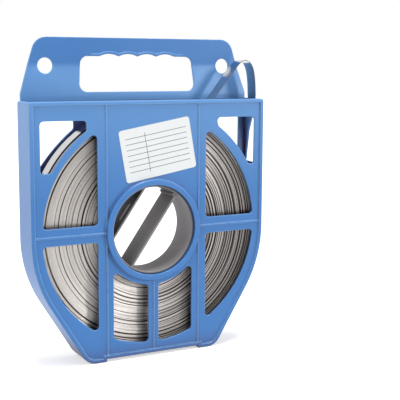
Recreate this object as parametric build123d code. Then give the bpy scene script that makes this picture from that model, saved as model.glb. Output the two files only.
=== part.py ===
from build123d import *
import os
from math import cos, pi, radians, sin, sqrt, tan

# Steel band
BAND_WIDTH = 16.0
BAND_THICKNESS = 0.7
BAND_LENGTH = 50000.0
WINDING_DENSITY = 0.84  # share of the coil's side that is steel and not gap between turns
GROUP_COUNT = 4  # the turns lie in groups, each shifted a little against the next
GROUP_STEP = 0.5

# Hub
HUB_HOLE_RADIUS = 46.0  # round hole in the front and back of the case
RUNNING_GAP = 0.3  # between the hub and the case, and between the hub and the coil
HUB_WALL = 2.0
HUB_SHOULDER = 4.0  # how far the two shoulders stand out of the hub, inside the case
SHOULDER_THICKNESS = 2.0
HUB_SET_BACK = 1.2  # hub's edges, inside the case's front border and back face
WEB_SET_BACK = 2.5  # webs' edges, inside the hub's edges
WEB_THICKNESS = 2.2
WEB_ANGLE = 55.0  # both webs lean this far from level
WEB_OFFSET = -2.2  # first web, from the hub's axis
CHORD_WEB_OFFSET = 31.7  # second web, from the hub's axis
WEB_FOOT_LENGTH = 3.0  # bar along the top end of the first web
WEB_FOOT_RISE = 2.6
SLIT_LENGTH = 20.0  # slit in the second web
SLIT_WIDTH = 4.5
SLIT_DEPTH = 13.0  # its middle, behind the case's front border

# Case
WALL = 2.5
COIL_CLEARANCE = 2.0  # outermost turn to the side walls
COIL_SIDE_GAP = 7.75  # coil to the front and back panels
RIM_WIDTH = 4.0  # raised border round the front
PANEL_RECESS = 1.5  # panel, behind the border
RIB_WIDTH = 1.6
RIB_HEIGHT = 1.0
BOSS_WIDTH = 6.0  # raised ring round the hub hole
BOSS_RISE = 3.0  # in front of the border
BOSS_EDGE = 1.0
EDGE_CHAMFER = 0.8  # outer edge of the border
LIP_RISE = 7.0  # top of the front, above the coil
FLANK_DROP = 4.0  # sides start to curve in this far below the hub
FLANK_ANGLE = 31.5
FOOT_HEIGHT = 3.0
FOOT_INNER = 52.0  # from the middle to each foot
FOOT_RADIUS = 16.0
FLOOR_GAP = 5.0  # coil to the middle of the case's bottom edge
TOP_CORNER_RADIUS = 3.0
STEP_RADIUS = 1.2

# Windows
WINDOW_COVER = 6.5  # how much of the coil's edge the panel hides
WINDOW_INNER = 60.0  # upright edges, from the middle
CROSS_BAR = 17.0  # between upper and lower windows
WINDOW_RADIUS = 4.0
LOW_WINDOW_INNER = 5.5
LOW_WINDOW_OUTER = 44.0
LOW_WINDOW_START = 11.0  # from the hub hole
CORNER_WINDOW_START = 5.2  # from the coil's edge
CORNER_WINDOW_EDGE = 10.4  # from the side of the case
CORNER_WINDOW_TOP = 18.7  # below the lip
CORNER_TIP_RADIUS = 3.0
UPRIGHT_RIB = 51.0

# Handle
HANDLE_RISE = 61.5  # above the lip
HANDLE_TOP_HALF = 108.0
HANDLE_SHOULDER = 6.0
HANDLE_CORNER = 15.0
HANDLE_LEAN = 4.0
BEND_LOW = 2.0
BEND_HIGH = 34.0
SEAT_GAP = 0.3  # back plate to the side walls
GRIP_HALF = 65.0
GRIP_LOW = 7.5  # above the lip
GRIP_HIGH = 43.0
GRIP_TOP_HALF = 62.0
GRIP_RADIUS = 8.0
FINGER_PITCH = 21.0
FINGER_COUNT = 4
FINGER_RISE = 2.4
BEAD_WIDTH = 2.3  # raised bead over the finger notches
BEAD_RISE = 0.8
BEAD_HALF = 51.0
BEAD_DROP = 3.0  # its ends, below the slot's top
HANG_HOLE_RADIUS = 7.9
HANG_HOLE_X = 99.0
HANG_HOLE_Z = 33.5

# Outlet in the right side wall
OUTLET_LOW = 62.0  # above the hub
OUTLET_HIGH = 127.0
OUTLET_FRONT = 5.0  # its front edge, behind the case's front
OUTLET_BACK = 29.5
OUTLET_TIP = 11.0  # its highest point, behind the case's front
OUTLET_BOW = 3.6  # how far its slanted edge bows out
OUTLET_RADIUS = 5.0
OUTLET_TIP_RADIUS = 2.0

# Free end of the band
END_RISE = 37.0  # crest of the loop above the lip
END_LEAN = 51.0
END_START = 68.5  # where the end bends up, from the middle
END_TUCK = 12.0  # how far the end reaches below the lip
END_WALL_GAP = 0.6
END_SHOULDER_DROP = 22.0  # where the end turns down beside the wall, below the crest
END_SHOULDER_IN = 4.0  # how far in from the wall's line the crest ends
KINK_RADIUS = 12.0
LAST_TURN = 10.0  # degrees of the outermost turn that the free end starts with

# Label
LABEL_WIDTH = 79.0
LABEL_HEIGHT = 53.0
LABEL_THICKNESS = 0.3
LABEL_X = 5.2
LABEL_Z = 81.5
LABEL_TILT = 10.0
LABEL_RADIUS = 3.0

# How far a cut runs past what it cuts
OVERCUT = 1.0

# Worked out
coil_bore = HUB_HOLE_RADIUS
coil_radius = sqrt(coil_bore**2 + BAND_THICKNESS * BAND_LENGTH / (pi * WINDING_DENSITY))
case_half = coil_radius + COIL_CLEARANCE + WALL
case_depth = PANEL_RECESS + 2 * WALL + 2 * COIL_SIDE_GAP + BAND_WIDTH
whole_depth = BOSS_RISE + case_depth + HANDLE_LEAN
hub_z = coil_radius + FLOOR_GAP + FOOT_HEIGHT
lip_z = hub_z + coil_radius + LIP_RISE
front = BOSS_RISE - whole_depth / 2
panel_front = front + PANEL_RECESS
panel_inside = panel_front + WALL
back_inside = panel_inside + 2 * COIL_SIDE_GAP + BAND_WIDTH
back_outside = back_inside + WALL
band_front = panel_inside + COIL_SIDE_GAP
band_back = band_front + BAND_WIDTH
window_reach = coil_radius - WINDOW_COVER


def slab(sketch, near, far):
    """Solid of a face drawn in x and height, between two depths."""
    return extrude(Plane.XZ.offset(-far) * sketch, amount=far - near)


def both_sides(sketch):
    """A face and its mirror image on the other side of the middle."""
    return sketch + mirror(sketch, about=Plane.YZ)


def case_outline(inset):
    """Outline of the case from the front, drawn in by an inset."""
    half = case_half - inset
    centre_z = hub_z - FLANK_DROP
    lean = radians(FLANK_ANGLE)
    turn = (half * cos(lean), centre_z - half * sin(lean))
    foot_x = turn[0] - (turn[1] - inset) * tan(lean)
    middle_x = half * cos(lean / 2)
    middle_z = centre_z - half * sin(lean / 2)
    foot_inner = FOOT_INNER + inset
    top = lip_z - inset
    edge = (
        Line((0, top), (half, top))
        + Line((half, top), (half, centre_z))
        + ThreePointArc((half, centre_z), (middle_x, middle_z), turn)
        + Line(turn, (foot_x, inset))
        + Line((foot_x, inset), (foot_inner, inset))
        + Line((foot_inner, inset), (foot_inner, FOOT_HEIGHT + inset))
        + Line((foot_inner, FOOT_HEIGHT + inset), (0, FOOT_HEIGHT + inset))
        + Line((0, FOOT_HEIGHT + inset), (0, top))
    )
    face = make_face(edge)
    corner = face.vertices().group_by(Axis.Y)[-1].sort_by(Axis.X)[-1]
    face = fillet(corner, max(TOP_CORNER_RADIUS - inset, 0.5))
    foot = face.vertices().group_by(Axis.Y)[0].sort_by(Axis.X)
    face = fillet(foot[-1], FOOT_RADIUS - inset)
    foot = face.vertices().group_by(Axis.Y)[0].sort_by(Axis.X)
    face = fillet(foot[0], STEP_RADIUS)
    return both_sides(face)


def ring_part(inner_x, low_z, reach):
    """Window with an upright inner edge, a level lower edge and a round outer edge."""
    along = sqrt(reach**2 - low_z**2)
    up = sqrt(reach**2 - inner_x**2)
    edge = (
        Line((inner_x, low_z), (along, low_z))
        + RadiusArc((along, low_z), (inner_x, up), -reach)
        + Line((inner_x, up), (inner_x, low_z))
    )
    face = make_face(edge)
    return fillet(face.vertices(), WINDOW_RADIUS)


def side_windows():
    """The four windows beside the hub that show the coil."""
    upper = ring_part(WINDOW_INNER, CROSS_BAR / 2, window_reach)
    pair = upper + mirror(upper, about=Plane.XZ)
    return both_sides(pair)


def low_windows():
    """The two windows below the hub, between two arcs."""
    inner = HUB_HOLE_RADIUS + LOW_WINDOW_START
    outer = window_reach
    xa = LOW_WINDOW_INNER
    xb = LOW_WINDOW_OUTER
    corners = [
        (xa, -sqrt(inner**2 - xa**2)),
        (xb, -sqrt(inner**2 - xb**2)),
        (xb, -sqrt(outer**2 - xb**2)),
        (xa, -sqrt(outer**2 - xa**2)),
    ]
    edge = (
        RadiusArc(corners[0], corners[1], -inner)
        + Line(corners[1], corners[2])
        + RadiusArc(corners[2], corners[3], outer)
        + Line(corners[3], corners[0])
    )
    face = fillet(make_face(edge).vertices(), WINDOW_RADIUS)
    return both_sides(face)


def corner_windows():
    """The two three-sided windows in the top corners, outside the coil."""
    reach = coil_radius + CORNER_WINDOW_START
    side = case_half - CORNER_WINDOW_EDGE
    top = lip_z - CORNER_WINDOW_TOP - hub_z
    start = (sqrt(reach**2 - top**2), top)
    tip = (side, sqrt(reach**2 - side**2))
    edge = (
        Line(start, (side, top))
        + Line((side, top), tip)
        + RadiusArc(tip, start, -reach)
    )
    face = make_face(edge)
    face = fillet(face.vertices().sort_by(Axis.Y)[0], CORNER_TIP_RADIUS)
    face = fillet(face.vertices().group_by(Axis.Y)[-1], WINDOW_RADIUS)
    return both_sides(face)


def all_windows():
    """Every opening that the front and the back of the case share."""
    windows = side_windows() + low_windows() + corner_windows() + Circle(HUB_HOLE_RADIUS)
    return Pos(0, hub_z) * windows


def rib(start, end):
    """Straight rib of the panel between two points."""
    dx = end[0] - start[0]
    dz = end[1] - start[1]
    upright = abs(dz) > abs(dx)
    size = (RIB_WIDTH, abs(dz)) if upright else (abs(dx), RIB_WIDTH)
    return Pos((start[0] + end[0]) / 2, (start[1] + end[1]) / 2) * Rectangle(*size)


def rib_pattern():
    """Raised lines between the windows, as one face."""
    boss = HUB_HOLE_RADIUS + BOSS_WIDTH
    top = lip_z - RIM_WIDTH
    side = case_half - RIM_WIDTH
    ribs = rib((UPRIGHT_RIB, 0), (UPRIGHT_RIB, top))
    ribs += rib((boss - RIB_WIDTH, hub_z), (side, hub_z))
    ribs = both_sides(ribs)
    ribs += rib((0, 0), (0, hub_z - boss + RIB_WIDTH))
    return ribs & case_outline(RIM_WIDTH)


def make_case_front():
    """Front panel with its border, ribs and ring, and the walls round the coil."""
    shell = slab(case_outline(0), front, back_outside)
    shell = chamfer(shell.faces().sort_by(Axis.Y)[0].edges(), EDGE_CHAMFER)
    cavity = case_outline(WALL) + Pos(0, lip_z) * Rectangle(2 * (case_half - WALL), 6 * WALL)
    shell -= slab(cavity, panel_inside, back_outside + OVERCUT)
    shell -= slab(case_outline(RIM_WIDTH), front - OVERCUT, panel_front)
    shell += slab(rib_pattern(), panel_front - RIB_HEIGHT, panel_inside)
    ring = slab(Pos(0, hub_z) * Circle(HUB_HOLE_RADIUS + BOSS_WIDTH), front - BOSS_RISE, panel_inside)
    shell += chamfer(ring.faces().sort_by(Axis.Y)[0].edges(), BOSS_EDGE)
    shell -= slab(all_windows(), front - BOSS_RISE - OVERCUT, panel_inside + OVERCUT)
    return shell - outlet()


def outlet():
    """Opening in the right side wall, narrow at the top, with a bowed edge at the back."""
    low = hub_z + OUTLET_LOW
    near = (front + OUTLET_FRONT, low)
    far = (front + OUTLET_BACK, low)
    tip = (front + OUTLET_TIP, hub_z + OUTLET_HIGH)
    edge = Line(tip, near) + Line(near, far) + SagittaArc(far, tip, -OUTLET_BOW)
    face = make_face(edge)
    face = fillet(face.vertices().group_by(Axis.Y)[0], OUTLET_RADIUS)
    face = fillet(face.vertices().group_by(Axis.Y)[-1], OUTLET_TIP_RADIUS)
    return extrude(Plane.YZ.offset(case_half - 2 * WALL) * face, amount=3 * WALL)


def handle_outline():
    """Outline of the back plate: the case's inside, and the handle above it."""
    seat = WALL + SEAT_GAP
    half = case_half - seat
    top = lip_z + HANDLE_RISE
    shoulder = lip_z + HANDLE_SHOULDER
    body = case_outline(seat)
    edge = Polyline(
        (-half, lip_z - 4 * WALL),
        (half, lip_z - 4 * WALL),
        (half, shoulder),
        (HANDLE_TOP_HALF, top),
        (-HANDLE_TOP_HALF, top),
        (-half, shoulder),
        close=True,
    )
    handle = make_face(edge)
    handle = fillet(handle.vertices().group_by(Axis.Y)[-1], HANDLE_CORNER)
    return body + handle


def grip():
    """Hand slot of the handle, with a rounded notch for each finger."""
    low = lip_z + GRIP_LOW
    high = lip_z + GRIP_HIGH
    edge = Polyline(
        (-GRIP_HALF, low), (GRIP_HALF, low), (GRIP_TOP_HALF, high), (-GRIP_TOP_HALF, high), close=True
    )
    face = make_face(edge)
    slot = fillet(face.vertices(), GRIP_RADIUS)
    half_pitch = FINGER_PITCH / 2
    radius = (half_pitch**2 + FINGER_RISE**2) / (2 * FINGER_RISE)
    for place in range(FINGER_COUNT):
        x = (place - (FINGER_COUNT - 1) / 2) * FINGER_PITCH
        arch = make_face(
            RadiusArc((x - half_pitch, high), (x + half_pitch, high), radius)
            + Line((x + half_pitch, high), (x + half_pitch, high - OVERCUT))
            + Line((x + half_pitch, high - OVERCUT), (x - half_pitch, high - OVERCUT))
            + Line((x - half_pitch, high - OVERCUT), (x - half_pitch, high))
        )
        slot += arch
    return slot


def finger_bead():
    """Raised bead that follows the finger notches, in front of the handle."""
    low = lip_z + GRIP_HIGH - BEAD_DROP
    high = lip_z + HANDLE_RISE
    band = Pos(0, (low + high) / 2) * Rectangle(2 * BEAD_HALF, high - low)
    face = (offset(grip(), BEAD_WIDTH) - grip()) & band
    plate = back_inside + HANDLE_LEAN
    return slab(face, plate - BEAD_RISE, plate + WALL)


def make_case_back():
    """Back plate, whose leaning top is the handle."""
    holes = both_sides(Pos(HANG_HOLE_X, lip_z + HANG_HOLE_Z) * Circle(HANG_HOLE_RADIUS))
    face = handle_outline() - all_windows() - grip() - holes
    top = lip_z + HANDLE_RISE + OVERCUT
    low = lip_z + BEND_LOW
    high = lip_z + BEND_HIGH
    section = Polyline(
        (back_inside, 0),
        (back_outside, 0),
        (back_outside, low),
        (back_outside + HANDLE_LEAN, high),
        (back_outside + HANDLE_LEAN, top),
        (back_inside + HANDLE_LEAN, top),
        (back_inside + HANDLE_LEAN, high),
        (back_inside, low),
        close=True,
    )
    width = 2 * case_half
    bent = extrude(Plane.YZ.offset(-width / 2) * make_face(section), amount=width)
    plate = bent & slab(face, back_inside - OVERCUT, back_outside + HANDLE_LEAN + OVERCUT)
    return plate + finger_bead()


def make_hub():
    """Plastic core: a ring with two shoulders and two webs."""
    outer = HUB_HOLE_RADIUS - RUNNING_GAP
    inner = outer - HUB_WALL
    near = front + HUB_SET_BACK
    far = back_outside - HUB_SET_BACK
    hub = slab(Circle(outer) - Circle(inner), near, far)
    collar = Circle(outer + HUB_SHOULDER) - Circle(inner)
    hub += slab(collar, panel_inside + RUNNING_GAP, panel_inside + RUNNING_GAP + SHOULDER_THICKNESS)
    hub += slab(collar, back_inside - RUNNING_GAP - SHOULDER_THICKNESS, back_inside - RUNNING_GAP)
    bars = Pos(0, WEB_OFFSET) * Rectangle(2 * outer, WEB_THICKNESS)
    bars += Pos(0, CHORD_WEB_OFFSET) * Rectangle(2 * outer, WEB_THICKNESS)
    foot = WEB_THICKNESS / 2 + WEB_FOOT_RISE
    foot_place = sqrt(inner**2 - (WEB_OFFSET + foot) ** 2)
    bars += Pos(foot_place, WEB_OFFSET + foot / 2) * Rectangle(2 * WEB_FOOT_LENGTH, foot)
    webs = Rot(0, 0, WEB_ANGLE) * bars & Circle(inner + HUB_WALL / 2)
    hub += slab(webs, near + WEB_SET_BACK, far - WEB_SET_BACK)
    slit = Rot(0, 0, WEB_ANGLE) * Pos(0, CHORD_WEB_OFFSET) * Rectangle(SLIT_LENGTH, 2 * WEB_THICKNESS)
    middle = front + SLIT_DEPTH
    hub -= slab(slit, middle - SLIT_WIDTH / 2, middle + SLIT_WIDTH / 2)
    return Pos(0, 0, hub_z) * hub


def band_end_path():
    """Middle line of the free end: off the coil, up over the lip and down inside the wall."""
    turn = coil_radius - BAND_THICKNESS / 2
    level = hub_z + turn
    wall_x = case_half - WALL - END_WALL_GAP - BAND_THICKNESS / 2
    crest = lip_z + END_RISE
    lean = radians(END_LEAN)
    rise = (crest - level) / tan(lean)
    last_turn = CenterArc((0, hub_z), turn, 90, LAST_TURN)
    corners = [
        (0, level),
        (END_START, level),
        (END_START + rise, crest),
        (wall_x - END_SHOULDER_IN, crest),
        (wall_x, crest - END_SHOULDER_DROP),
        (wall_x, lip_z - END_TUCK),
    ]
    return last_turn + FilletPolyline(*corners, radius=KINK_RADIUS)


def coil_profile():
    """Half section of the coil: its groups of turns stand out to the front or the back by turns."""
    pitch = (coil_radius - coil_bore) / GROUP_COUNT
    near = []
    for place in range(GROUP_COUNT):
        shift = GROUP_STEP * ((GROUP_COUNT - place) % 3 - 1)
        inner = coil_bore + place * pitch
        near += [(inner, band_front + shift), (inner + pitch, band_front + shift)]
    far = [(radius, depth + BAND_WIDTH) for radius, depth in reversed(near)]
    return make_face(Polyline(*near, *far, close=True))


def make_steel_band():
    """Coil of band, turned round its bore, with the free end of its outermost turn."""
    coil = Pos(0, 0, hub_z) * revolve(coil_profile(), Axis.Y)
    path = band_end_path()
    strip = trace(path, line_width=BAND_THICKNESS)
    return coil + slab(strip, band_front, band_back)


def make_label():
    """Blank sticker on the panel."""
    face = RectangleRounded(LABEL_WIDTH, LABEL_HEIGHT, LABEL_RADIUS)
    face = Pos(LABEL_X, hub_z + LABEL_Z) * Rot(0, 0, LABEL_TILT) * face
    return slab(face, panel_front - LABEL_THICKNESS, panel_front)


PIECES = {
    "case_front": make_case_front,
    "case_back": make_case_back,
    "hub": make_hub,
    "steel_band": make_steel_band,
    "label": make_label,
}

os.makedirs("parts", exist_ok=True)
for name, make in PIECES.items():
    export_step(make(), f"parts/{name}.step")
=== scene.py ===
"""Dresses a coil of steel band in its carrying case, and sets the floor, the light and the camera.

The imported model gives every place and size. The case, the hub and the label are copies of its solids
with their moulded edges rounded. The coil is the band itself, wound turn by turn, and it runs on into
the free end.
"""

import logging
import math
import random
from dataclasses import dataclass
from enum import Enum

import bpy
from mathutils import Matrix, Vector

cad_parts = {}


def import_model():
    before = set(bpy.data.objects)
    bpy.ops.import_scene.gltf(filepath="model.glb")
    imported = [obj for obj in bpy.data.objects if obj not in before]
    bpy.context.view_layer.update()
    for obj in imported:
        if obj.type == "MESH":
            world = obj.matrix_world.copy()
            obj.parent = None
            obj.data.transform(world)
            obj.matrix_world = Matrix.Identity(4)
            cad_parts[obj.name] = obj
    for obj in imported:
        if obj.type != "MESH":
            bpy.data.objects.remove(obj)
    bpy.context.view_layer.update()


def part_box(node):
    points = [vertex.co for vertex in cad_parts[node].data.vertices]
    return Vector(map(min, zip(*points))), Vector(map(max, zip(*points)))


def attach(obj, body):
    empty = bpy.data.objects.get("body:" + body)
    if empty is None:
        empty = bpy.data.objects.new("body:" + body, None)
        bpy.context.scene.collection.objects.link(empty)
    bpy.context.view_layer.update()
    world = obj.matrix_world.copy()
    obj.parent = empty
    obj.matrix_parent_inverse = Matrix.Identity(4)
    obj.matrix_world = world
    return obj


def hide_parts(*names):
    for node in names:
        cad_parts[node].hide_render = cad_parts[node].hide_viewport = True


LOG = logging.getLogger("scene")
MM = 0.001
MERGE_DISTANCE = 0.002 * MM
CLOUDS = "ShaderNodeTexNoise"
BODY = "root"


class Slot(Enum):
    """Material slots of the record."""

    CASE_FRONT = "case_front_plastic"
    CASE_BACK = "case_back_plastic"
    HUB = "hub_plastic"
    BAND = "band_steel"
    LABEL = "label_paper"


class NodeSheet:
    """A node tree that nodes are added to from left to right."""

    def __init__(self, tree: bpy.types.NodeTree) -> None:
        """Keeps the tree.

        Args:
            tree: The tree of a material, a world or a node group.
        """
        self.tree = tree

    def add(self, kind: str, **settings: object) -> bpy.types.Node:
        """Adds a node.

        Args:
            kind: Blender's name for the kind of node.
            **settings: Attributes of the node, such as operation.

        Returns:
            The new node.
        """
        node = self.tree.nodes.new(kind)
        for name, value in settings.items():
            setattr(node, name, value)
        return node

    def link(self, source: bpy.types.NodeSocket, target: bpy.types.NodeSocket) -> None:
        """Joins an output to an input."""
        self.tree.links.new(source, target)

    def maths(self, operation: str, *values: float | bpy.types.NodeSocket) -> bpy.types.NodeSocket:
        """Adds a Math node.

        Args:
            operation: The node's operation, such as MULTIPLY.
            *values: A number or an output for each input.

        Returns:
            The node's output.
        """
        node = self.add("ShaderNodeMath", operation=operation)
        for index, value in enumerate(values):
            if isinstance(value, bpy.types.NodeSocket):
                self.link(value, node.inputs[index])
            else:
                node.inputs[index].default_value = value
        return node.outputs[0]

    def noise(self, where: bpy.types.NodeSocket, scale: float, detail: float = 2.0) -> bpy.types.NodeSocket:
        """Adds a cloudy noise.

        Args:
            where: The coordinates it reads.
            scale: How many features fit in a metre.
            detail: How many finer layers it has.

        Returns:
            The noise, from 0 to 1.
        """
        node = self.add(CLOUDS)
        node.inputs["Scale"].default_value = scale
        node.inputs["Detail"].default_value = detail
        self.link(where, node.inputs["Vector"])
        return node.outputs["Fac"]

    def spread(self, value: bpy.types.NodeSocket, low: float, high: float) -> bpy.types.NodeSocket:
        """Maps a value from 0..1 to low..high.

        Args:
            value: The output to map.
            low: The result at 0.
            high: The result at 1.

        Returns:
            The mapped value.
        """
        node = self.add("ShaderNodeMapRange")
        node.inputs["To Min"].default_value = low
        node.inputs["To Max"].default_value = high
        self.link(value, node.inputs["Value"])
        return node.outputs["Result"]

    def blend(
        self,
        mask: bpy.types.NodeSocket,
        first: tuple[float, float, float] | bpy.types.NodeSocket,
        second: tuple[float, float, float] | bpy.types.NodeSocket,
    ) -> bpy.types.NodeSocket:
        """Mixes two colours.

        Args:
            mask: The share of the second colour.
            first: A colour, or an output with one.
            second: A colour, or an output with one.

        Returns:
            The mixed colour.
        """
        node = self.add("ShaderNodeMix", data_type="RGBA")
        self.link(mask, node.inputs["Factor"])
        for name, value in (("A", first), ("B", second)):
            socket = [s for s in node.inputs if s.name == name and s.type == "RGBA"][0]
            if isinstance(value, bpy.types.NodeSocket):
                self.link(value, socket)
            else:
                socket.default_value = (*value, 1.0)
        return [s for s in node.outputs if s.type == "RGBA"][0]


@dataclass(frozen=True)
class Colour:
    """A colour as it is seen, in steps of 255."""

    red: int
    green: int
    blue: int

    @property
    def linear(self) -> tuple[float, float, float]:
        """The colour as a shader takes it."""
        return tuple(self._step(value / 255) for value in (self.red, self.green, self.blue))

    @staticmethod
    def _step(value: float) -> float:
        """One channel, from the screen's sRGB curve to linear."""
        return value / 12.92 if value <= 0.04045 else ((value + 0.055) / 1.055) ** 2.4


class SharedEffects:
    """Shader node groups that several finishes use."""

    EDGE_SAMPLES = 6
    DEPTH_SAMPLES = 8
    WEAR_AND_HIGHLIGHT_SCALE = 180.0
    WEAR_AND_HIGHLIGHT_DETAIL = 3.0
    LEAST_WEAR_AND_HIGHLIGHT = 0.2

    def __init__(self) -> None:
        """Builds each group once."""
        self.grain = self._build_grain()
        self.edge = self._build_edge()
        self.depth = self._build_painted_shade()

    @staticmethod
    def _group(name: str, inputs: dict[str, float], outputs: dict[str, str]) -> bpy.types.NodeTree:
        """Makes an empty group.

        Args:
            name: The group's name.
            inputs: Name and first value of each number that goes in.
            outputs: Name and socket type of each output.

        Returns:
            The group's tree, with its input and output nodes.
        """
        tree = bpy.data.node_groups.new(name, "ShaderNodeTree")
        for label, value in inputs.items():
            socket = tree.interface.new_socket(name=label, in_out="INPUT", socket_type="NodeSocketFloat")
            socket.default_value = value
        for label, kind in outputs.items():
            tree.interface.new_socket(name=label, in_out="OUTPUT", socket_type=kind)
        tree.nodes.new("NodeGroupInput")
        tree.nodes.new("NodeGroupOutput")
        return tree

    def _build_grain(self) -> bpy.types.NodeTree:
        """The fine grain and slow waves of a moulded or rolled skin.

        Returns:
            A group with a mask of slow patches and a height for a Bump node.
        """
        tree = self._group(
            "skin_grain",
            {"Grain Scale": 2500.0, "Patch Scale": 25.0, "Wave": 0.4},
            {"Patches": "NodeSocketFloat", "Height": "NodeSocketFloat"},
        )
        sheet = NodeSheet(tree)
        given, result = tree.nodes["Group Input"], tree.nodes["Group Output"]
        where = sheet.add("ShaderNodeTexCoord").outputs["Object"]
        fine = sheet.add(CLOUDS)
        slow = sheet.add(CLOUDS)
        for node, label in ((fine, "Grain Scale"), (slow, "Patch Scale")):
            sheet.link(where, node.inputs["Vector"])
            sheet.link(given.outputs[label], node.inputs["Scale"])
        wave = sheet.maths("MULTIPLY", slow.outputs["Fac"], given.outputs["Wave"])
        sheet.link(slow.outputs["Fac"], result.inputs["Patches"])
        sheet.link(sheet.maths("ADD", fine.outputs["Fac"], wave), result.inputs["Height"])
        return tree

    def _build_edge(self) -> bpy.types.NodeTree:
        """Soft moulded edges: a normal that rounds them, and a mask that is 1 there and 0 on open faces; the
        finishes use the mask to paint edges lighter, partly as rubbed wear and partly as a painted highlight.

        Returns:
            A group with the mask and the normal.
        """
        tree = self._group(
            "soft_edge",
            {"Radius": 1.4 * MM, "Gain": 5.0},
            {"Mask": "NodeSocketFloat", "Normal": "NodeSocketVector"},
        )
        sheet = NodeSheet(tree)
        given, result = tree.nodes["Group Input"], tree.nodes["Group Output"]
        rounded = sheet.add("ShaderNodeBevel", samples=self.EDGE_SAMPLES)
        sheet.link(given.outputs["Radius"], rounded.inputs["Radius"])
        true_normal = sheet.add("ShaderNodeNewGeometry").outputs["Normal"]
        likeness = sheet.add("ShaderNodeVectorMath", operation="DOT_PRODUCT")
        sheet.link(rounded.outputs["Normal"], likeness.inputs[0])
        sheet.link(true_normal, likeness.inputs[1])
        turned = sheet.maths("SUBTRACT", 1.0, likeness.outputs["Value"])
        gained = sheet.maths("MULTIPLY", turned, given.outputs["Gain"])
        where = sheet.add("ShaderNodeTexCoord").outputs["Object"]
        broken = sheet.spread(sheet.noise(where, self.WEAR_AND_HIGHLIGHT_SCALE, self.WEAR_AND_HIGHLIGHT_DETAIL), self.LEAST_WEAR_AND_HIGHLIGHT, 1.0)
        worn_and_highlit = sheet.maths("MINIMUM", sheet.maths("MULTIPLY", gained, broken), 1.0)
        sheet.link(worn_and_highlit, result.inputs["Mask"])
        sheet.link(rounded.outputs["Normal"], result.inputs["Normal"])
        return tree

    def _build_painted_shade(self) -> bpy.types.NodeTree:
        """How open a place is, for painted shade: below the lip of the case the colour is painted darker
        between close walls.

        Returns:
            A group with a mask that is 0 deep inside, and 1 in the open.
        """
        tree = self._group(
            "deep_inside_painted_shade",
            {"Reach": 45.0 * MM, "Closed": 0.36, "Open": 0.72, "Lip": 262.6 * MM},
            {"Mask": "NodeSocketFloat"},
        )
        sheet = NodeSheet(tree)
        given, result = tree.nodes["Group Input"], tree.nodes["Group Output"]
        reach = sheet.add("ShaderNodeAmbientOcclusion", samples=self.DEPTH_SAMPLES)
        sheet.link(given.outputs["Reach"], reach.inputs["Distance"])
        step = sheet.add("ShaderNodeMapRange")
        sheet.link(given.outputs["Closed"], step.inputs["From Min"])
        sheet.link(given.outputs["Open"], step.inputs["From Max"])
        sheet.link(reach.outputs["AO"], step.inputs["Value"])
        parts = sheet.add("ShaderNodeSeparateXYZ")
        sheet.link(sheet.add("ShaderNodeTexCoord").outputs["Object"], parts.inputs["Vector"])
        above = sheet.maths("GREATER_THAN", parts.outputs["Z"], given.outputs["Lip"])
        sheet.link(sheet.maths("MAXIMUM", above, step.outputs["Result"]), result.inputs["Mask"])
        return tree


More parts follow.
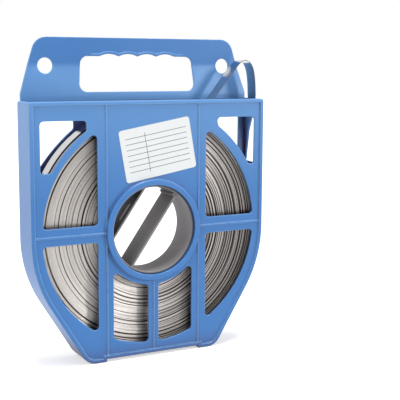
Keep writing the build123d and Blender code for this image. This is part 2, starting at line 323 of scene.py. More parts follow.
@dataclass(frozen=True)
class PlasticFinish:
    """Moulded plastic: a grained skin with slow patches, a belt of painted light, edges lightened as rubbed
    wear and as a painted highlight, and painted shade deep inside.
    """

    name: str
    colour: Colour
    patch_colour: Colour
    rubbed_highlight_colour: Colour
    roughness: float
    rubbed_roughness: float
    grain: float
    rub_and_highlight: float
    painted_shade_colour: Colour = Colour(50, 44, 92)
    painted_light_colour: Colour = Colour(84, 136, 192)
    patch_roughness: tuple[float, float] = (-0.04, 0.05)
    grain_depth: float = 0.05 * MM
    painted_light: float = 0.0
    painted_light_rise: tuple[float, float] = (165.0 * MM, 262.0 * MM)
    painted_light_end: tuple[float, float] = (294.0 * MM, 300.0 * MM)

    def build(self, effects: SharedEffects) -> bpy.types.Material:
        """Makes the material.

        Args:
            effects: The shared node groups.

        Returns:
            The finished material.
        """
        material = bpy.data.materials.new(self.name)
        material.use_nodes = True
        sheet = NodeSheet(material.node_tree)
        shader = material.node_tree.nodes["Principled BSDF"]
        grain = sheet.add("ShaderNodeGroup", node_tree=effects.grain)
        edge = sheet.add("ShaderNodeGroup", node_tree=effects.edge)
        patched = sheet.blend(grain.outputs["Patches"], self.colour.linear, self.patch_colour.linear)
        # painted light: a belt of the case is painted lighter, from the windows up to the bend of the handle
        if self.painted_light:
            patched = sheet.blend(self._painted_light_belt(sheet), patched, self.painted_light_colour.linear)
        # painted shade: deep inside the case, below the lip, the colour is painted darker between close walls
        depth = sheet.add("ShaderNodeGroup", node_tree=effects.depth)
        patched = sheet.blend(depth.outputs["Mask"], self.painted_shade_colour.linear, patched)
        # edges are painted lighter: partly rubbed wear, partly a painted highlight along the rounded edges
        rubbed_and_highlit = sheet.maths("MULTIPLY", edge.outputs["Mask"], self.rub_and_highlight)
        sheet.link(sheet.blend(rubbed_and_highlit, patched, self.rubbed_highlight_colour.linear), shader.inputs["Base Color"])
        least, most = (self.roughness + change for change in self.patch_roughness)
        smooth = sheet.spread(grain.outputs["Patches"], least, most)
        lift = sheet.maths("MULTIPLY", rubbed_and_highlit, self.rubbed_roughness - self.roughness)
        sheet.link(sheet.maths("ADD", smooth, lift), shader.inputs["Roughness"])
        bump = sheet.add("ShaderNodeBump")
        bump.inputs["Strength"].default_value = self.grain
        bump.inputs["Distance"].default_value = self.grain_depth
        sheet.link(edge.outputs["Normal"], bump.inputs["Normal"])
        sheet.link(grain.outputs["Height"], bump.inputs["Height"])
        sheet.link(bump.outputs["Normal"], shader.inputs["Normal"])
        return material

    def _painted_light_belt(self, sheet: NodeSheet) -> bpy.types.NodeSocket:
        """The height at which the plastic is painted lighter, as painted light: from the windows up to the
        bend of the handle.

        Args:
            sheet: The material's tree.

        Returns:
            A mask, with the share of fading.
        """
        parts = sheet.add("ShaderNodeSeparateXYZ")
        sheet.link(sheet.add("ShaderNodeTexCoord").outputs["Object"], parts.inputs["Vector"])
        shares = []
        for (start, end), (first, last) in ((self.painted_light_rise, (0.0, self.painted_light)), (self.painted_light_end, (1.0, 0.0))):
            step = sheet.add("ShaderNodeMapRange")
            for label, value in (("From Min", start), ("From Max", end), ("To Min", first), ("To Max", last)):
                step.inputs[label].default_value = value
            sheet.link(parts.outputs["Z"], step.inputs["Value"])
            shares.append(step.outputs["Result"])
        return sheet.maths("MULTIPLY", *shares)


@dataclass(frozen=True)
class BandFinish:
    """Rolled stainless band: bright faces, slit edges of uneven tone with painted shade where the coil is
    loose and on its outermost turns, and painted shade on the faces between the turns.

    The attribute "turn" counts the turns from the hub, and "loose" says how open the coil is there.
    """

    name: str = "rolled_band"
    edge_colour: Colour = Colour(184, 179, 174)
    dull_and_shaded_edge_colour: Colour = Colour(56, 50, 50)
    face_colour: Colour = Colour(205, 205, 207)
    painted_gap_shade_colour: Colour = Colour(38, 34, 36)
    anisotropy: float = 0.4
    edge_roughness: float = 0.36
    tone_scale: float = 0.42
    tone_detail: float = 3.0
    tone_low: float = 0.29
    tone_high: float = 0.38
    loose_shade_shift: float = 0.19
    face_roughness: float = 0.16
    gap_roughness: float = 0.6
    line_stretch: tuple[float, float, float] = (0.4, 900.0, 1.0)
    line_scale: float = 3.0
    line_detail: float = 4.0
    line_roughness: tuple[float, float] = (-0.04, 0.05)
    line_strength: float = 0.25
    line_depth: float = 0.01 * MM
    edge_height: float = 7.8 * MM
    open_turn: float = 93.2
    last_turns: float = 92.95
    last_turns_reach: float = 1.0

    def build(self) -> bpy.types.Material:
        """Makes the material.

        Returns:
            The finished material.
        """
        material = bpy.data.materials.new(self.name)
        material.use_nodes = True
        sheet = NodeSheet(material.node_tree)
        shader = material.node_tree.nodes["Principled BSDF"]
        shader.inputs["Metallic"].default_value = 1.0
        shader.inputs["Anisotropic"].default_value = self.anisotropy
        turn = sheet.add("ShaderNodeAttribute", attribute_name="turn").outputs["Fac"]
        where = sheet.add("ShaderNodeUVMap", uv_map="strip").outputs["UV"]
        across = sheet.add("ShaderNodeSeparateXYZ")
        sheet.link(where, across.inputs["Vector"])
        height = sheet.maths("ABSOLUTE", across.outputs["Y"])
        on_edge = sheet.maths("GREATER_THAN", height, self.edge_height)
        in_open = sheet.maths("GREATER_THAN", turn, self.open_turn)
        tone = sheet.add(CLOUDS, noise_dimensions="1D")
        tone.inputs["Scale"].default_value = self.tone_scale
        tone.inputs["Detail"].default_value = self.tone_detail
        sheet.link(turn, tone.inputs["W"])
        clear = sheet.add("ShaderNodeMapRange")
        clear.inputs["From Min"].default_value = self.tone_low
        clear.inputs["From Max"].default_value = self.tone_high
        loose = sheet.add("ShaderNodeAttribute", attribute_name="loose").outputs["Fac"]
        # painted shade: the edge tone differs at random from turn to turn, and goes darker where the coil is
        # loose and its gaps open
        shifted_by_loose_shade = sheet.maths("MULTIPLY_ADD", loose, -self.loose_shade_shift, tone.outputs["Fac"])
        # painted shade: the edges of the outermost turns are painted dark, along the coil's outer edge
        outermost_painted_shade = sheet.maths("COMPARE", turn, self.last_turns, self.last_turns_reach)
        sheet.link(sheet.maths("SUBTRACT", shifted_by_loose_shade, outermost_painted_shade), clear.inputs["Value"])
        edge = sheet.blend(clear.outputs["Result"], self.dull_and_shaded_edge_colour.linear, self.edge_colour.linear)
        # painted shade: the faces of the wound turns, between neighbours, are painted dark; only the open
        # free end keeps the bright face colour
        face = sheet.blend(in_open, self.painted_gap_shade_colour.linear, self.face_colour.linear)
        sheet.link(sheet.blend(on_edge, face, edge), shader.inputs["Base Color"])
        drawn = sheet.add("ShaderNodeMapping")
        drawn.inputs["Scale"].default_value = self.line_stretch
        sheet.link(where, drawn.inputs["Vector"])
        lines = sheet.noise(drawn.outputs["Vector"], self.line_scale, self.line_detail)
        flat = sheet.spread(in_open, self.gap_roughness, self.face_roughness)
        plain = sheet.maths("MULTIPLY_ADD", on_edge, sheet.maths("SUBTRACT", self.edge_roughness, flat), flat)
        rough = sheet.maths("ADD", sheet.spread(lines, *self.line_roughness), plain)
        sheet.link(rough, shader.inputs["Roughness"])
        bump = sheet.add("ShaderNodeBump")
        bump.inputs["Strength"].default_value = self.line_strength
        bump.inputs["Distance"].default_value = self.line_depth
        sheet.link(lines, bump.inputs["Height"])
        sheet.link(bump.outputs["Normal"], shader.inputs["Normal"])
        return material


@dataclass(frozen=True)
class PaperFinish:
    """White sticker paper with fine fibres and a few printed rules."""

    name: str = "label_paper"
    colour: Colour = Colour(219, 222, 221)
    fibre_colour: Colour = Colour(212, 215, 215)
    rule_colour: Colour = Colour(92, 94, 100)
    fibre_scale: float = 1400.0
    fibre_detail: float = 4.0
    fibre_strength: float = 0.1
    fibre_depth: float = 0.02 * MM
    roughness: tuple[float, float] = (0.4, 0.55)
    tilt: float = 10.0
    rule_pitch: float = 5.6 * MM
    rule_width: float = 0.6 * MM
    rules_half_length: float = 34.0 * MM
    rules_half_height: float = 20.0 * MM
    column: float = -12.0 * MM

    def build(self) -> bpy.types.Material:
        """Makes the material.

        Returns:
            The finished material.
        """
        material = bpy.data.materials.new(self.name)
        material.use_nodes = True
        sheet = NodeSheet(material.node_tree)
        shader = material.node_tree.nodes["Principled BSDF"]
        where = sheet.add("ShaderNodeTexCoord").outputs["Object"]
        fibres = sheet.noise(where, self.fibre_scale, self.fibre_detail)
        paper = sheet.blend(fibres, self.colour.linear, self.fibre_colour.linear)
        ruled = sheet.blend(self._rules(sheet, where), paper, self.rule_colour.linear)
        sheet.link(ruled, shader.inputs["Base Color"])
        sheet.link(sheet.spread(fibres, *self.roughness), shader.inputs["Roughness"])
        bump = sheet.add("ShaderNodeBump")
        bump.inputs["Strength"].default_value = self.fibre_strength
        bump.inputs["Distance"].default_value = self.fibre_depth
        sheet.link(fibres, bump.inputs["Height"])
        sheet.link(bump.outputs["Normal"], shader.inputs["Normal"])
        return material

    def _rules(self, sheet: NodeSheet, where: bpy.types.NodeSocket) -> bpy.types.NodeSocket:
        """Plain ruled lines and one column line, as on a blank form.

        Args:
            sheet: The material's tree.
            where: Object coordinates.

        Returns:
            1 on a line, and 0 elsewhere.
        """
        low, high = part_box("label")
        centred = sheet.add("ShaderNodeVectorMath", operation="SUBTRACT")
        sheet.link(where, centred.inputs[0])
        centred.inputs[1].default_value = (low + high) / 2
        level = sheet.add("ShaderNodeMapping")
        level.inputs["Rotation"].default_value = (0.0, math.radians(self.tilt), 0.0)
        sheet.link(centred.outputs["Vector"], level.inputs["Vector"])
        parts = sheet.add("ShaderNodeSeparateXYZ")
        sheet.link(level.outputs["Vector"], parts.inputs["Vector"])
        across, up = parts.outputs["X"], parts.outputs["Z"]
        row = sheet.maths("PINGPONG", up, self.rule_pitch / 2)
        on_row = sheet.maths("LESS_THAN", row, self.rule_width / 2)
        on_column = sheet.maths("COMPARE", across, self.column, self.rule_width / 2)
        inside_x = sheet.maths("LESS_THAN", sheet.maths("ABSOLUTE", across), self.rules_half_length)
        inside_z = sheet.maths("LESS_THAN", sheet.maths("ABSOLUTE", up), self.rules_half_height)
        inside = sheet.maths("MULTIPLY", inside_x, inside_z)
        return sheet.maths("MULTIPLY", inside, sheet.maths("MAXIMUM", on_row, on_column))


@dataclass
class RoundedCopy:
    """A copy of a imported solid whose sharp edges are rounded, as a mould leaves them."""

    node: str
    slot: Slot
    edge_radius: float = 0.3 * MM
    segments: int = 3
    sharp_angle: float = 32.0
    flat_weight: int = 100

    def build(self, material: bpy.types.Material) -> bpy.types.Object:
        """Copies the solid, rounds it and takes its place.

        Args:
            material: The piece's finish.

        Returns:
            The new piece.
        """
        source = bpy.data.objects[self.node]
        piece = source.copy()
        piece.data = source.data.copy()
        piece.name = f"{self.node}_moulded"
        for key in list(piece.keys()):
            del piece[key]
        bpy.context.scene.collection.objects.link(piece)
        piece.parent = None
        piece.data.materials.clear()
        piece.data.materials.append(material)
        activate(piece)
        self._merge()
        self._round(piece)
        finish_piece(piece, self.slot, self.node)
        return piece

    def _merge(self) -> None:
        """Merges the loose triangles into clean faces."""
        bpy.ops.object.mode_set(mode="EDIT")
        bpy.ops.mesh.select_all(action="SELECT")
        bpy.ops.mesh.customdata_custom_splitnormals_clear()
        bpy.ops.mesh.remove_doubles(threshold=MERGE_DISTANCE)
        bpy.ops.object.mode_set(mode="OBJECT")

    def _round(self, piece: bpy.types.Object) -> None:
        """Rounds the sharp edges and smooths the rest.

        Args:
            piece: The merged copy.
        """
        bpy.ops.object.shade_smooth_by_angle(angle=math.radians(self.sharp_angle))
        bevel = piece.modifiers.new("mould_radius", "BEVEL")
        bevel.width = self.edge_radius
        bevel.segments = self.segments
        bevel.limit_method = "ANGLE"
        bevel.angle_limit = math.radians(self.sharp_angle)
        bevel.use_clamp_overlap = False
        bpy.ops.object.modifier_apply(modifier=bevel.name)
        weigh = piece.modifiers.new("flat_faces_first", "WEIGHTED_NORMAL")
        weigh.keep_sharp = True
        weigh.weight = self.flat_weight
        bpy.ops.object.modifier_apply(modifier=weigh.name)


@dataclass(frozen=True)
class CornerWindow:
    """One corner window as it is cut. Its edges are measured from the hub's axis.

    The side is -1 for left and 1 for right. The round side comes within coil_gap of the coil in the
    direction of middle, in degrees above level.
    """

    side: int
    coil_gap: float
    inner_edge: float
    arc_radius: float
    outer_edge: float = 118.05 * MM
    top: float = 112.25 * MM
    low: float = 62.5 * MM
    corner_radius: float = 3.8 * MM
    middle: float = 44.0
    arc_steps: int = 24
    corner_steps: int = 8

    def outline(self, coil_radius: float) -> list[tuple[float, float]]:
        """The window's outline: three straight sides and one round side, with rounded corners.

        Args:
            coil_radius: Radius of the coil that it stays clear of.

        Returns:
            Points to the right of and above the hub's axis.
        """
        corner, away = self.corner_radius, self.arc_radius - coil_radius - self.coil_gap
        middle = math.radians(self.middle)
        back_x, back_z = away * math.cos(middle), away * math.sin(middle)
        reach = self.arc_radius + corner
        outer_x, top_z = self.outer_edge - corner, self.top - corner
        inner_x, low_z = self.inner_edge + corner, self.low + corner
        inner_z = math.sqrt(reach**2 - (inner_x + back_x) ** 2) - back_z
        low_x = math.sqrt(reach**2 - (low_z + back_z) ** 2) - back_x
        inner_end = math.degrees(math.atan2(inner_z + back_z, inner_x + back_x))
        low_end = math.degrees(math.atan2(low_z + back_z, low_x + back_x))
        points = self._arc(outer_x, low_z, corner, -90, 0, self.corner_steps)
        points += self._arc(outer_x, top_z, corner, 0, 90, self.corner_steps)
        points += self._arc(inner_x, top_z, corner, 90, 180, self.corner_steps)
        points += self._arc(inner_x, inner_z, corner, 180, 180 + inner_end, self.corner_steps)
        points += self._arc(-back_x, -back_z, self.arc_radius, inner_end, low_end, self.arc_steps)[1:-1]
        points += self._arc(low_x, low_z, corner, 180 + low_end, 270, self.corner_steps)
        return [(self.side * x, z) for x, z in points]

    @staticmethod
    def _arc(
        x: float, z: float, radius: float, start: float, end: float, steps: int
    ) -> list[tuple[float, float]]:
        """Points along an arc.

        Args:
            x: Its centre, to the right of the hub's axis.
            z: Its centre, above the hub's axis.
            radius: Its radius.
            start: Its first angle, from the right, in degrees.
            end: Its last angle.
            steps: How many parts it has.

        Returns:
            The points, both ends among them.
        """
        angles = [math.radians(start + (end - start) * step / steps) for step in range(steps + 1)]
        return [(x + radius * math.cos(angle), z + radius * math.sin(angle)) for angle in angles]


@dataclass
class WindowedCopy(RoundedCopy):
    """A panel whose corner windows are cut out again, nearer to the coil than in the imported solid."""

    windows: tuple[CornerWindow, ...] = ()
    reach: float = 25.0 * MM
    clean_distance: float = 0.01 * MM
    flat_angle: float = 0.5

    def _merge(self) -> None:
        """Merges the loose triangles, widens the windows, and merges each flat face into one."""
        super()._merge()
        panel = bpy.context.object
        for tool in self._tools():
            self._cut(panel, tool)
        activate(panel)
        bpy.ops.object.mode_set(mode="EDIT")
        bpy.ops.mesh.select_all(action="SELECT")
        bpy.ops.mesh.remove_doubles(threshold=self.clean_distance)
        bpy.ops.mesh.dissolve_limited(angle_limit=math.radians(self.flat_angle))
        bpy.ops.object.mode_set(mode="OBJECT")

    def _tools(self) -> list[bpy.types.Object]:
        """Makes every shape that is cut out of the panel.

        Returns:
            The shapes, in order.
        """
        coil_radius = hub_height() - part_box("steel_band")[0].z
        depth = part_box(self.node)[0].y
        upright = Matrix.Translation((0.0, depth, hub_height())) @ Matrix.Rotation(math.pi / 2, 4, "X")
        return [self._prism(window.outline(coil_radius), self.reach, upright) for window in self.windows]

    @staticmethod
    def _prism(outline: list[tuple[float, float]], reach: float, place: Matrix) -> bpy.types.Object:
        """Draws an outline and gives it thickness both ways.

        Args:
            outline: The points of the outline, flat.
            reach: How far the shape goes to each side of the outline.
            place: Where the outline is put.

        Returns:
            The closed shape.
        """
        curve = bpy.data.curves.new("cutter", "CURVE")
        curve.dimensions = "2D"
        curve.fill_mode = "BOTH"
        curve.extrude = reach
        spline = curve.splines.new("POLY")
        spline.points.add(len(outline) - 1)
        for point, (x, y) in zip(spline.points, outline):
            point.co = (x, y, 0.0, 1.0)
        spline.use_cyclic_u = True
        cutter = bpy.data.objects.new("cutter", curve)
        bpy.context.scene.collection.objects.link(cutter)
        activate(cutter)
        bpy.ops.object.convert(target="MESH")
        cutter = bpy.context.view_layer.objects.active
        cutter.data.transform(place)
        activate(cutter)
        bpy.ops.object.mode_set(mode="EDIT")
        bpy.ops.mesh.select_all(action="SELECT")
        bpy.ops.mesh.remove_doubles(threshold=MERGE_DISTANCE)
        bpy.ops.mesh.normals_make_consistent(inside=False)
        bpy.ops.object.mode_set(mode="OBJECT")
        return cutter

    @staticmethod
    def _cut(piece: bpy.types.Object, tool: bpy.types.Object) -> None:
        """Takes one shape out of another and deletes it.

        Args:
            piece: The shape that stays.
            tool: The shape that is taken out.
        """
        activate(piece)
        cut = piece.modifiers.new("cut", "BOOLEAN")
        cut.operation = "DIFFERENCE"
        cut.solver = "EXACT"
        cut.object = tool
        bpy.ops.object.modifier_apply(modifier=cut.name)
        bpy.data.objects.remove(tool)


@dataclass
class FrontShell(WindowedCopy):
    """The front panel with its walls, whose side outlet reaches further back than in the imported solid.

    The outlet's outline gives depth behind the front of the case, and height above the hub's axis.
    """

    wall_reach: float = 6.0 * MM
    front_to_label: float = 1.5 * MM
    outlet: tuple[tuple[float, float], ...] = (
        (10.5 * MM, 62.3 * MM),
        (34.0 * MM, 62.3 * MM),
        (28.3 * MM, 95.5 * MM),
        (15.5 * MM, 126.0 * MM),
        (10.5 * MM, 126.0 * MM),
    )

    def _tools(self) -> list[bpy.types.Object]:
        """Adds the outlet to the windows.

        Returns:
            The shapes, in order.
        """
        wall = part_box(self.node)[1].x
        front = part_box("label")[1].y - self.front_to_label
        in_wall = Matrix.Translation((wall, front, hub_height())) @ Matrix(
            ((0.0, 0.0, 1.0, 0.0), (1.0, 0.0, 0.0, 0.0), (0.0, 1.0, 0.0, 0.0), (0.0, 0.0, 0.0, 1.0))
        )
        return super()._tools() + [self._prism(list(self.outlet), self.wall_reach, in_wall)]


@dataclass
class SteelBand:
    """The whole band: wound round the hub from the inside out, then off the coil as the free end.

    The free end's route gives, for its rise over the lip, the way to the right and the height above the
    coil, and for its fall beside the wall, the distance inside the wall and the height above the coil.
    """

    width: float = 16.0 * MM
    thickness: float = 0.7 * MM
    turns: int = 94
    steps: int = 96
    groups: int = 26
    group_gap_spread: float = 0.6
    close_gap: float = 0.02 * MM
    leans: tuple[float, ...] = (0.0, 0.5 * MM, -0.5 * MM, 0.0)
    sway: float = 0.28 * MM
    jitter: float = 0.06 * MM
    crown: float = 0.13 * MM
    crown_steps: int = 4
    smooth_angle: float = 40.0
    bore: float = 46.0 * MM
    hub_clearance: float = 0.05 * MM
    loose_swing: float = 0.38
    loose_angle: float = -15.0
    rise: tuple[tuple[float, float], ...] = (
        (0.0, 0.0),
        (18.0 * MM, 0.0),
        (40.0 * MM, 0.0),
        (60.0 * MM, 0.3 * MM),
        (70.5 * MM, 2.2 * MM),
        (79.0 * MM, 12.5 * MM),
        (91.0 * MM, 27.8 * MM),
        (99.5 * MM, 37.3 * MM),
        (106.5 * MM, 46.5 * MM),
        (115.5 * MM, 48.0 * MM),
        (121.5 * MM, 41.0 * MM),
    )
    fall: tuple[tuple[float, float], ...] = (
        (1.4 * MM, 31.0 * MM),
        (0.2 * MM, 18.0 * MM),
        (0.0, 7.0 * MM),
        (0.0, -4.6 * MM),
    )
    curve_steps: int = 12
    node: str = "steel_band"
    seed: int = 5

    def __post_init__(self) -> None:
        """Reads the coil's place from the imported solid, and draws the gaps between turns."""
        low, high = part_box(self.node)
        self.middle_y = (low.y + high.y) / 2
        self.centre_z = hub_height()
        self.outer = self.centre_z - low.z
        self.inner = self.bore + self.hub_clearance
        self.wall_x = high.x - self.thickness / 2
        draw = random.Random(self.seed)
        self.gaps = self._draw_gaps(draw)
        self.even_gap = sum(self.gaps) / len(self.gaps)
        self.shifts = self._draw_shifts(draw)

    def _draw_gaps(self, draw: random.Random) -> list[float]:
        """Draws the gaps between neighbouring turns, and keeps the turns at which a new group starts.

        Args:
            draw: Source of chance.

        Returns:
            One gap for each turn, which together fill the coil.
        """
        last_line = self.outer - self.thickness / 2
        free = last_line - (self.inner + self.thickness / 2) - self.turns * self.thickness
        gaps = [self.close_gap * draw.uniform(0.3, 1.7) for _ in range(self.turns)]
        left = free - sum(gaps)
        places = [
            round((i + draw.uniform(0.15, 0.85)) * self.turns / self.groups)
            for i in range(self.groups)
        ]
        weights = [draw.uniform(1 - self.group_gap_spread, 1 + self.group_gap_spread) for _ in places]
        for place, weight in zip(places, weights):
            gaps[min(place, self.turns - 1)] += left * weight / sum(weights)
        self.breaks = sorted(set(places))
        return gaps

    def _draw_shifts(self, draw: random.Random) -> list[float]:
        """How far each turn stands out sideways, in groups that lean together.

        Args:
            draw: Source of chance.

        Returns:
            One shift for each turn, and one for the end of the last.
        """
        shifts = []
        level, slope = 0.0, 0.0
        for turn in range(self.turns + 1):
            if turn == 0 or turn in self.breaks:
                level = draw.uniform(-self.sway, self.sway)
                slope = draw.uniform(-0.3, 0.3) * self.sway
            lean = self.leans[min(turn * len(self.leans) // self.turns, len(self.leans) - 1)]
            shifts.append(lean + level + draw.uniform(-self.jitter, self.jitter))
            level = max(-self.sway, min(self.sway, level + slope))
        shifts[-1] = shifts[-2] = 0.0
        return shifts

    def _looseness(self, angle: float) -> float:
        """Share of the gap that lies between groups: most at the right, least at the left.

        Args:
            angle: Place round the coil, from the right, anticlockwise.

        Returns:
            A share from 0 to 1.
        """
        return 1.0 - self.loose_swing + self.loose_swing * math.cos(angle - math.radians(self.loose_angle))

    def wound_points(self) -> list[tuple[Vector, float]]:
        """Middle line of the wound part.

        Returns:
            For each step a point (right, up, out) and its turn.
        """
        top = math.pi / 2
        points = []
        first = self.inner + self.thickness / 2
        for step in range(self.turns * self.steps + 1):
            turn = min(step // self.steps, self.turns - 1)
            share = step / self.steps - turn
            angle = top + (self.turns * self.steps - step) / self.steps * 2 * math.pi
            loose = self._looseness(angle)
            grouped = sum(self.gaps[:turn]) + share * self.gaps[turn]
            even = (turn + share) * self.even_gap
            radius = first + (turn + share) * self.thickness + loose * grouped + (1 - loose) * even
            soft = share * share * (3 - 2 * share)
            shift = self.shifts[turn] * (1 - soft) + self.shifts[turn + 1] * soft
            place = Vector((radius * math.cos(angle), radius * math.sin(angle), shift))
            points.append((place, turn + share))
        return points

    def free_points(self) -> list[tuple[Vector, float]]:
        """Middle line of the free end: off the coil, up over the lip, round the crest and down by the wall.

        Returns:
            For each step a point (right, up, out) and its turn.
        """
        level = self.outer - self.thickness / 2
        corners = [(across, level + height) for across, height in self.rise]
        corners += [(self.wall_x - inside, level + height) for inside, height in self.fall]
        curve = bpy.data.curves.new("free_end_route", "CURVE")
        curve.dimensions = "3D"
        curve.resolution_u = self.curve_steps
        spline = curve.splines.new("NURBS")
        spline.points.add(len(corners) - 1)
        for point, (x, z) in zip(spline.points, corners):
            point.co = (x, z, 0.0, 1.0)
        spline.order_u = 4
        spline.use_endpoint_u = True
        route = bpy.data.objects.new("free_end_route", curve)
        bpy.context.scene.collection.objects.link(route)
        line = bpy.data.meshes.new_from_object(route)
        places = [vertex.co.copy() for vertex in line.vertices]
        bpy.data.objects.remove(route)
        bpy.data.meshes.remove(line)
        return [(place, float(self.turns)) for place in places[1:]]

    def build(self, material: bpy.types.Material) -> bpy.types.Object:
        """Sweeps the band's section along its whole line.

        Args:
            material: The band's finish.

        Returns:
            The new piece.
        """
        line = self.wound_points() + self.free_points()
        curve = bpy.data.curves.new("band_line", "CURVE")
        curve.dimensions = "3D"
        curve.twist_mode = "Z_UP"
        spline = curve.splines.new("POLY")
        spline.points.add(len(line) - 1)
        for point, (place, _) in zip(spline.points, line):
            point.co = (*place, 1.0)
        section = self._section()
        curve.bevel_mode = "OBJECT"
        curve.bevel_object = section
        curve.use_fill_caps = True
        piece = bpy.data.objects.new("steel_band_wound", curve)
        bpy.context.scene.collection.objects.link(piece)
        activate(piece)
        bpy.ops.object.convert(target="MESH")
        piece = bpy.context.view_layer.objects.active
        bpy.data.objects.remove(section)
        self._mark(piece, line)
        upright = Matrix.Rotation(math.pi / 2, 4, "X")
        piece.data.transform(Matrix.Translation((0.0, self.middle_y, self.centre_z)) @ upright)
        piece.data.materials.clear()
        piece.data.materials.append(material)
        activate(piece)
        bpy.ops.object.mode_set(mode="EDIT")
        bpy.ops.mesh.select_all(action="SELECT")
        bpy.ops.mesh.normals_make_consistent(inside=False)
        bpy.ops.object.mode_set(mode="OBJECT")
        bpy.ops.object.shade_smooth_by_angle(angle=math.radians(self.smooth_angle))
        finish_piece(piece, Slot.BAND, self.node)
        return piece

    def _section(self) -> bpy.types.Object:
        """The band's cross-section, with its two slit edges slightly crowned.

        Returns:
            A closed flat curve.
        """
        half = self.thickness / 2
        tall = self.width / 2
        shares = [1 - 2 * step / self.crown_steps for step in range(self.crown_steps + 1)]
        outline = [(half * share, tall - self.crown * share * share) for share in shares]
        outline += [(-x, -y) for x, y in outline]
        curve = bpy.data.curves.new("band_section", "CURVE")
        curve.dimensions = "2D"
        spline = curve.splines.new("POLY")
        spline.points.add(len(outline) - 1)
        for point, (x, y) in zip(spline.points, outline):
            point.co = (x, y, 0.0, 1.0)
        spline.use_cyclic_u = True
        section = bpy.data.objects.new("band_section", curve)
        bpy.context.scene.collection.objects.link(section)
        return section

    def _mark(self, piece: bpy.types.Object, line: list[tuple[Vector, float]]) -> None:
        """Stores each vertex's turn and looseness, and a flat map along and across the band.

        Args:
            piece: The swept band, still lying flat.
            line: The middle line that it was swept along.
        """
        mesh = piece.data
        ring = 2 * (self.crown_steps + 1)
        run, length = [0.0], 0.0
        for (before, _), (after, _) in zip(line, line[1:]):
            length += (after - before).length
            run.append(length)
        turn = mesh.attributes.new("turn", "FLOAT", "POINT")
        steps = [min(vertex.index // ring, len(line) - 1) for vertex in mesh.vertices]
        turn.data.foreach_set("value", [line[step][1] for step in steps])
        loose = mesh.attributes.new("loose", "FLOAT", "POINT")
        angles = [math.atan2(place.y, place.x) for place, _ in line]
        loose.data.foreach_set("value", [self._looseness(angles[step]) for step in steps])
        for layer in list(mesh.uv_layers):
            mesh.uv_layers.remove(layer)
        layer = mesh.uv_layers.new(name="strip")
        for loop, uv in zip(mesh.loops, layer.data):
            step = steps[loop.vertex_index]
            uv.uv = (run[step], mesh.vertices[loop.vertex_index].co.z - line[step][0].z)
        LOG.info("band of %.1f m, %d turns", length, self.turns)


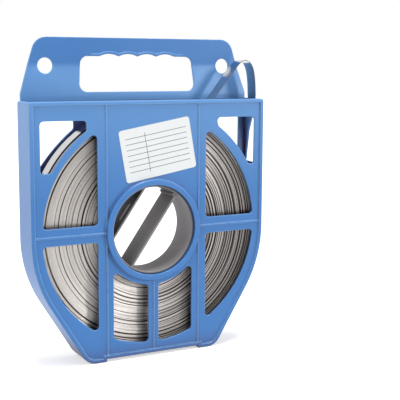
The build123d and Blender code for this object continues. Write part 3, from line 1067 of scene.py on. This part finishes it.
@dataclass
class Studio:
    """A pale floor, soft light and the camera at the photograph's place."""

    camera_place: tuple[float, float, float] = (-0.39633, -0.86512, 0.30266)
    camera_turn: float = 27.957
    camera_drop: float = 8.522
    camera_roll: float = 0.374
    lens: float = 83.947
    sensor: float = 36.0
    floor_size: float = 12.0
    floor_cuts: int = 4
    floor_colour: tuple[float, float, float] = (0.6, 0.6, 0.61)
    floor_roughness: float = 0.9
    key_turn: float = 42.0
    key_rise: float = 14.0
    key_strength: float = 1.35
    key_spread: float = 14.0
    side_turn: float = -82.0
    side_rise: float = 20.0
    side_strength: float = 1.3
    side_spread: float = 70.0
    top_turn: float = 10.0
    top_rise: float = 83.0
    top_strength: float = 3.2
    top_spread: float = 20.0
    sky_light: float = 0.42
    floor_lift: float = 0.55

    def build(self) -> None:
        """Makes the floor, the world, the lamps and the camera."""
        self._floor()
        self._world()
        self._lamp("key", self.key_turn, self.key_rise, self.key_strength, self.key_spread)
        self._lamp("side", self.side_turn, self.side_rise, self.side_strength, self.side_spread)
        self._lamp("top", self.top_turn, self.top_rise, self.top_strength, self.top_spread)
        self._camera()

    def _floor(self) -> None:
        """A wide pale floor that camera and glossy rays see as white, with the object's shadow on it."""
        deselect()
        bpy.ops.mesh.primitive_grid_add(
            x_subdivisions=self.floor_cuts, y_subdivisions=self.floor_cuts, size=self.floor_size
        )
        floor = bpy.context.active_object
        floor.name = "floor"
        material = bpy.data.materials.new("pale_floor")
        material.use_nodes = True
        sheet = NodeSheet(material.node_tree)
        shader = material.node_tree.nodes["Principled BSDF"]
        shader.inputs["Base Color"].default_value = (*self.floor_colour, 1.0)
        shader.inputs["Roughness"].default_value = self.floor_roughness
        shader.inputs["Emission Color"].default_value = (1.0, 1.0, 1.0, 1.0)
        lift = sheet.maths("MULTIPLY", seen_directly(sheet), self.floor_lift)
        sheet.link(lift, shader.inputs["Emission Strength"])
        floor.data.materials.append(material)

    def _world(self) -> None:
        """White all round for the camera and reflections, softer as light."""
        world = bpy.data.worlds.new("studio")
        bpy.context.scene.world = world
        world.use_nodes = True
        sheet = NodeSheet(world.node_tree)
        back = world.node_tree.nodes["Background"]
        back.inputs["Color"].default_value = (1.0, 1.0, 1.0, 1.0)
        sheet.link(sheet.spread(seen_directly(sheet), self.sky_light, 1.0), back.inputs["Strength"])

    def _lamp(self, name: str, turn: float, rise: float, strength: float, spread: float) -> None:
        """Adds a far lamp.

        Args:
            name: The lamp's name.
            turn: Its direction from the front, to the right, in degrees.
            rise: Its height above level, in degrees.
            strength: Its power.
            spread: How wide it looks, in degrees.
        """
        lamp = bpy.data.lights.new(name, "SUN")
        lamp.energy = strength
        lamp.angle = math.radians(spread)
        holder = bpy.data.objects.new(name, lamp)
        bpy.context.scene.collection.objects.link(holder)
        turn, rise = math.radians(turn), math.radians(rise)
        towards = Vector((math.sin(turn) * math.cos(rise), -math.cos(turn) * math.cos(rise), math.sin(rise)))
        holder.rotation_euler = towards.to_track_quat("Z", "Y").to_euler()

    def _camera(self) -> None:
        """The camera, turned, dropped and rolled as the photograph's was."""
        turn, drop, roll = (math.radians(a) for a in (self.camera_turn, self.camera_drop, self.camera_roll))
        ahead = Vector((math.sin(turn) * math.cos(drop), math.cos(turn) * math.cos(drop), -math.sin(drop)))
        level = Vector((math.cos(turn), -math.sin(turn), 0.0))
        above = level.cross(ahead)
        right = math.cos(roll) * level + math.sin(roll) * above
        up = math.cos(roll) * above - math.sin(roll) * level
        data = bpy.data.cameras.new("camera")
        data.lens = self.lens
        data.sensor_width = self.sensor
        camera = bpy.data.objects.new("camera", data)
        facing = Matrix((right, up, -ahead)).transposed().to_4x4()
        camera.matrix_world = Matrix.Translation(self.camera_place) @ facing
        bpy.context.scene.collection.objects.link(camera)
        bpy.context.scene.camera = camera


def seen_directly(sheet: NodeSheet) -> bpy.types.NodeSocket:
    """A mask of the rays that show the surroundings: from the camera, from gloss and through glass.

    Args:
        sheet: The tree of the floor or the world.

    Returns:
        1 for such a ray, and 0 for one that only carries light.
    """
    path = sheet.add("ShaderNodeLightPath")
    seen = sheet.maths("MAXIMUM", path.outputs["Is Camera Ray"], path.outputs["Is Glossy Ray"])
    return sheet.maths("MAXIMUM", seen, path.outputs["Is Transmission Ray"])


def hub_height() -> float:
    """Height of the hub's axis, which is also the coil's."""
    low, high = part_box("hub")
    return (low.z + high.z) / 2


def deselect() -> None:
    """Leaves object mode with nothing selected."""
    if bpy.context.object and bpy.context.object.mode != "OBJECT":
        bpy.ops.object.mode_set(mode="OBJECT")
    bpy.ops.object.select_all(action="DESELECT")


def activate(piece: bpy.types.Object) -> None:
    """Selects one piece alone and makes it active.

    Args:
        piece: The piece that the next operators work on.
    """
    deselect()
    piece.select_set(True)
    bpy.context.view_layer.objects.active = piece


def finish_piece(piece: bpy.types.Object, slot: Slot, *nodes: str) -> None:
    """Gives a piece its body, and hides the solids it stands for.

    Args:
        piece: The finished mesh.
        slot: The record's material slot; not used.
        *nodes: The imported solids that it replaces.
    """
    deselect()
    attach(piece, BODY)
    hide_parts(*nodes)
    LOG.info("%s: %d faces", piece.name, len(piece.data.polygons))


def main() -> None:
    """Builds every piece in order."""
    logging.basicConfig(level=logging.INFO, format="%(message)s")
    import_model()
    bpy.context.scene.view_settings.view_transform = "Standard"
    effects = SharedEffects()
    case = PlasticFinish(
        "case_plastic",
        colour=Colour(45, 106, 171),
        patch_colour=Colour(51, 112, 175),
        rubbed_highlight_colour=Colour(160, 208, 242),
        roughness=0.36,
        rubbed_roughness=0.4,
        grain=0.2,
        rub_and_highlight=0.8,
        painted_light=0.85,
    ).build(effects)
    core = PlasticFinish(
        "core_plastic",
        colour=Colour(120, 117, 119),
        patch_colour=Colour(129, 125, 127),
        rubbed_highlight_colour=Colour(156, 152, 152),
        painted_shade_colour=Colour(70, 66, 68),
        roughness=0.55,
        rubbed_roughness=0.6,
        grain=0.5,
        rub_and_highlight=0.25,
    ).build(effects)
    front_windows = (
        CornerWindow(-1, coil_gap=0.2 * MM, inner_edge=70.8 * MM, arc_radius=124.2 * MM),
        CornerWindow(1, coil_gap=3.6 * MM, inner_edge=74.4 * MM, arc_radius=127.6 * MM),
    )
    back_windows = tuple(
        CornerWindow(side, coil_gap=0.4 * MM, inner_edge=72.0 * MM, arc_radius=180.0 * MM) for side in (-1, 1)
    )
    FrontShell("case_front", Slot.CASE_FRONT, windows=front_windows).build(case)
    WindowedCopy("case_back", Slot.CASE_BACK, windows=back_windows).build(case)
    RoundedCopy("hub", Slot.HUB).build(core)
    SteelBand().build(BandFinish().build())
    RoundedCopy("label", Slot.LABEL, edge_radius=0.08 * MM, segments=2).build(PaperFinish().build())
    Studio().build()


if __name__ == "__main__":
    main()
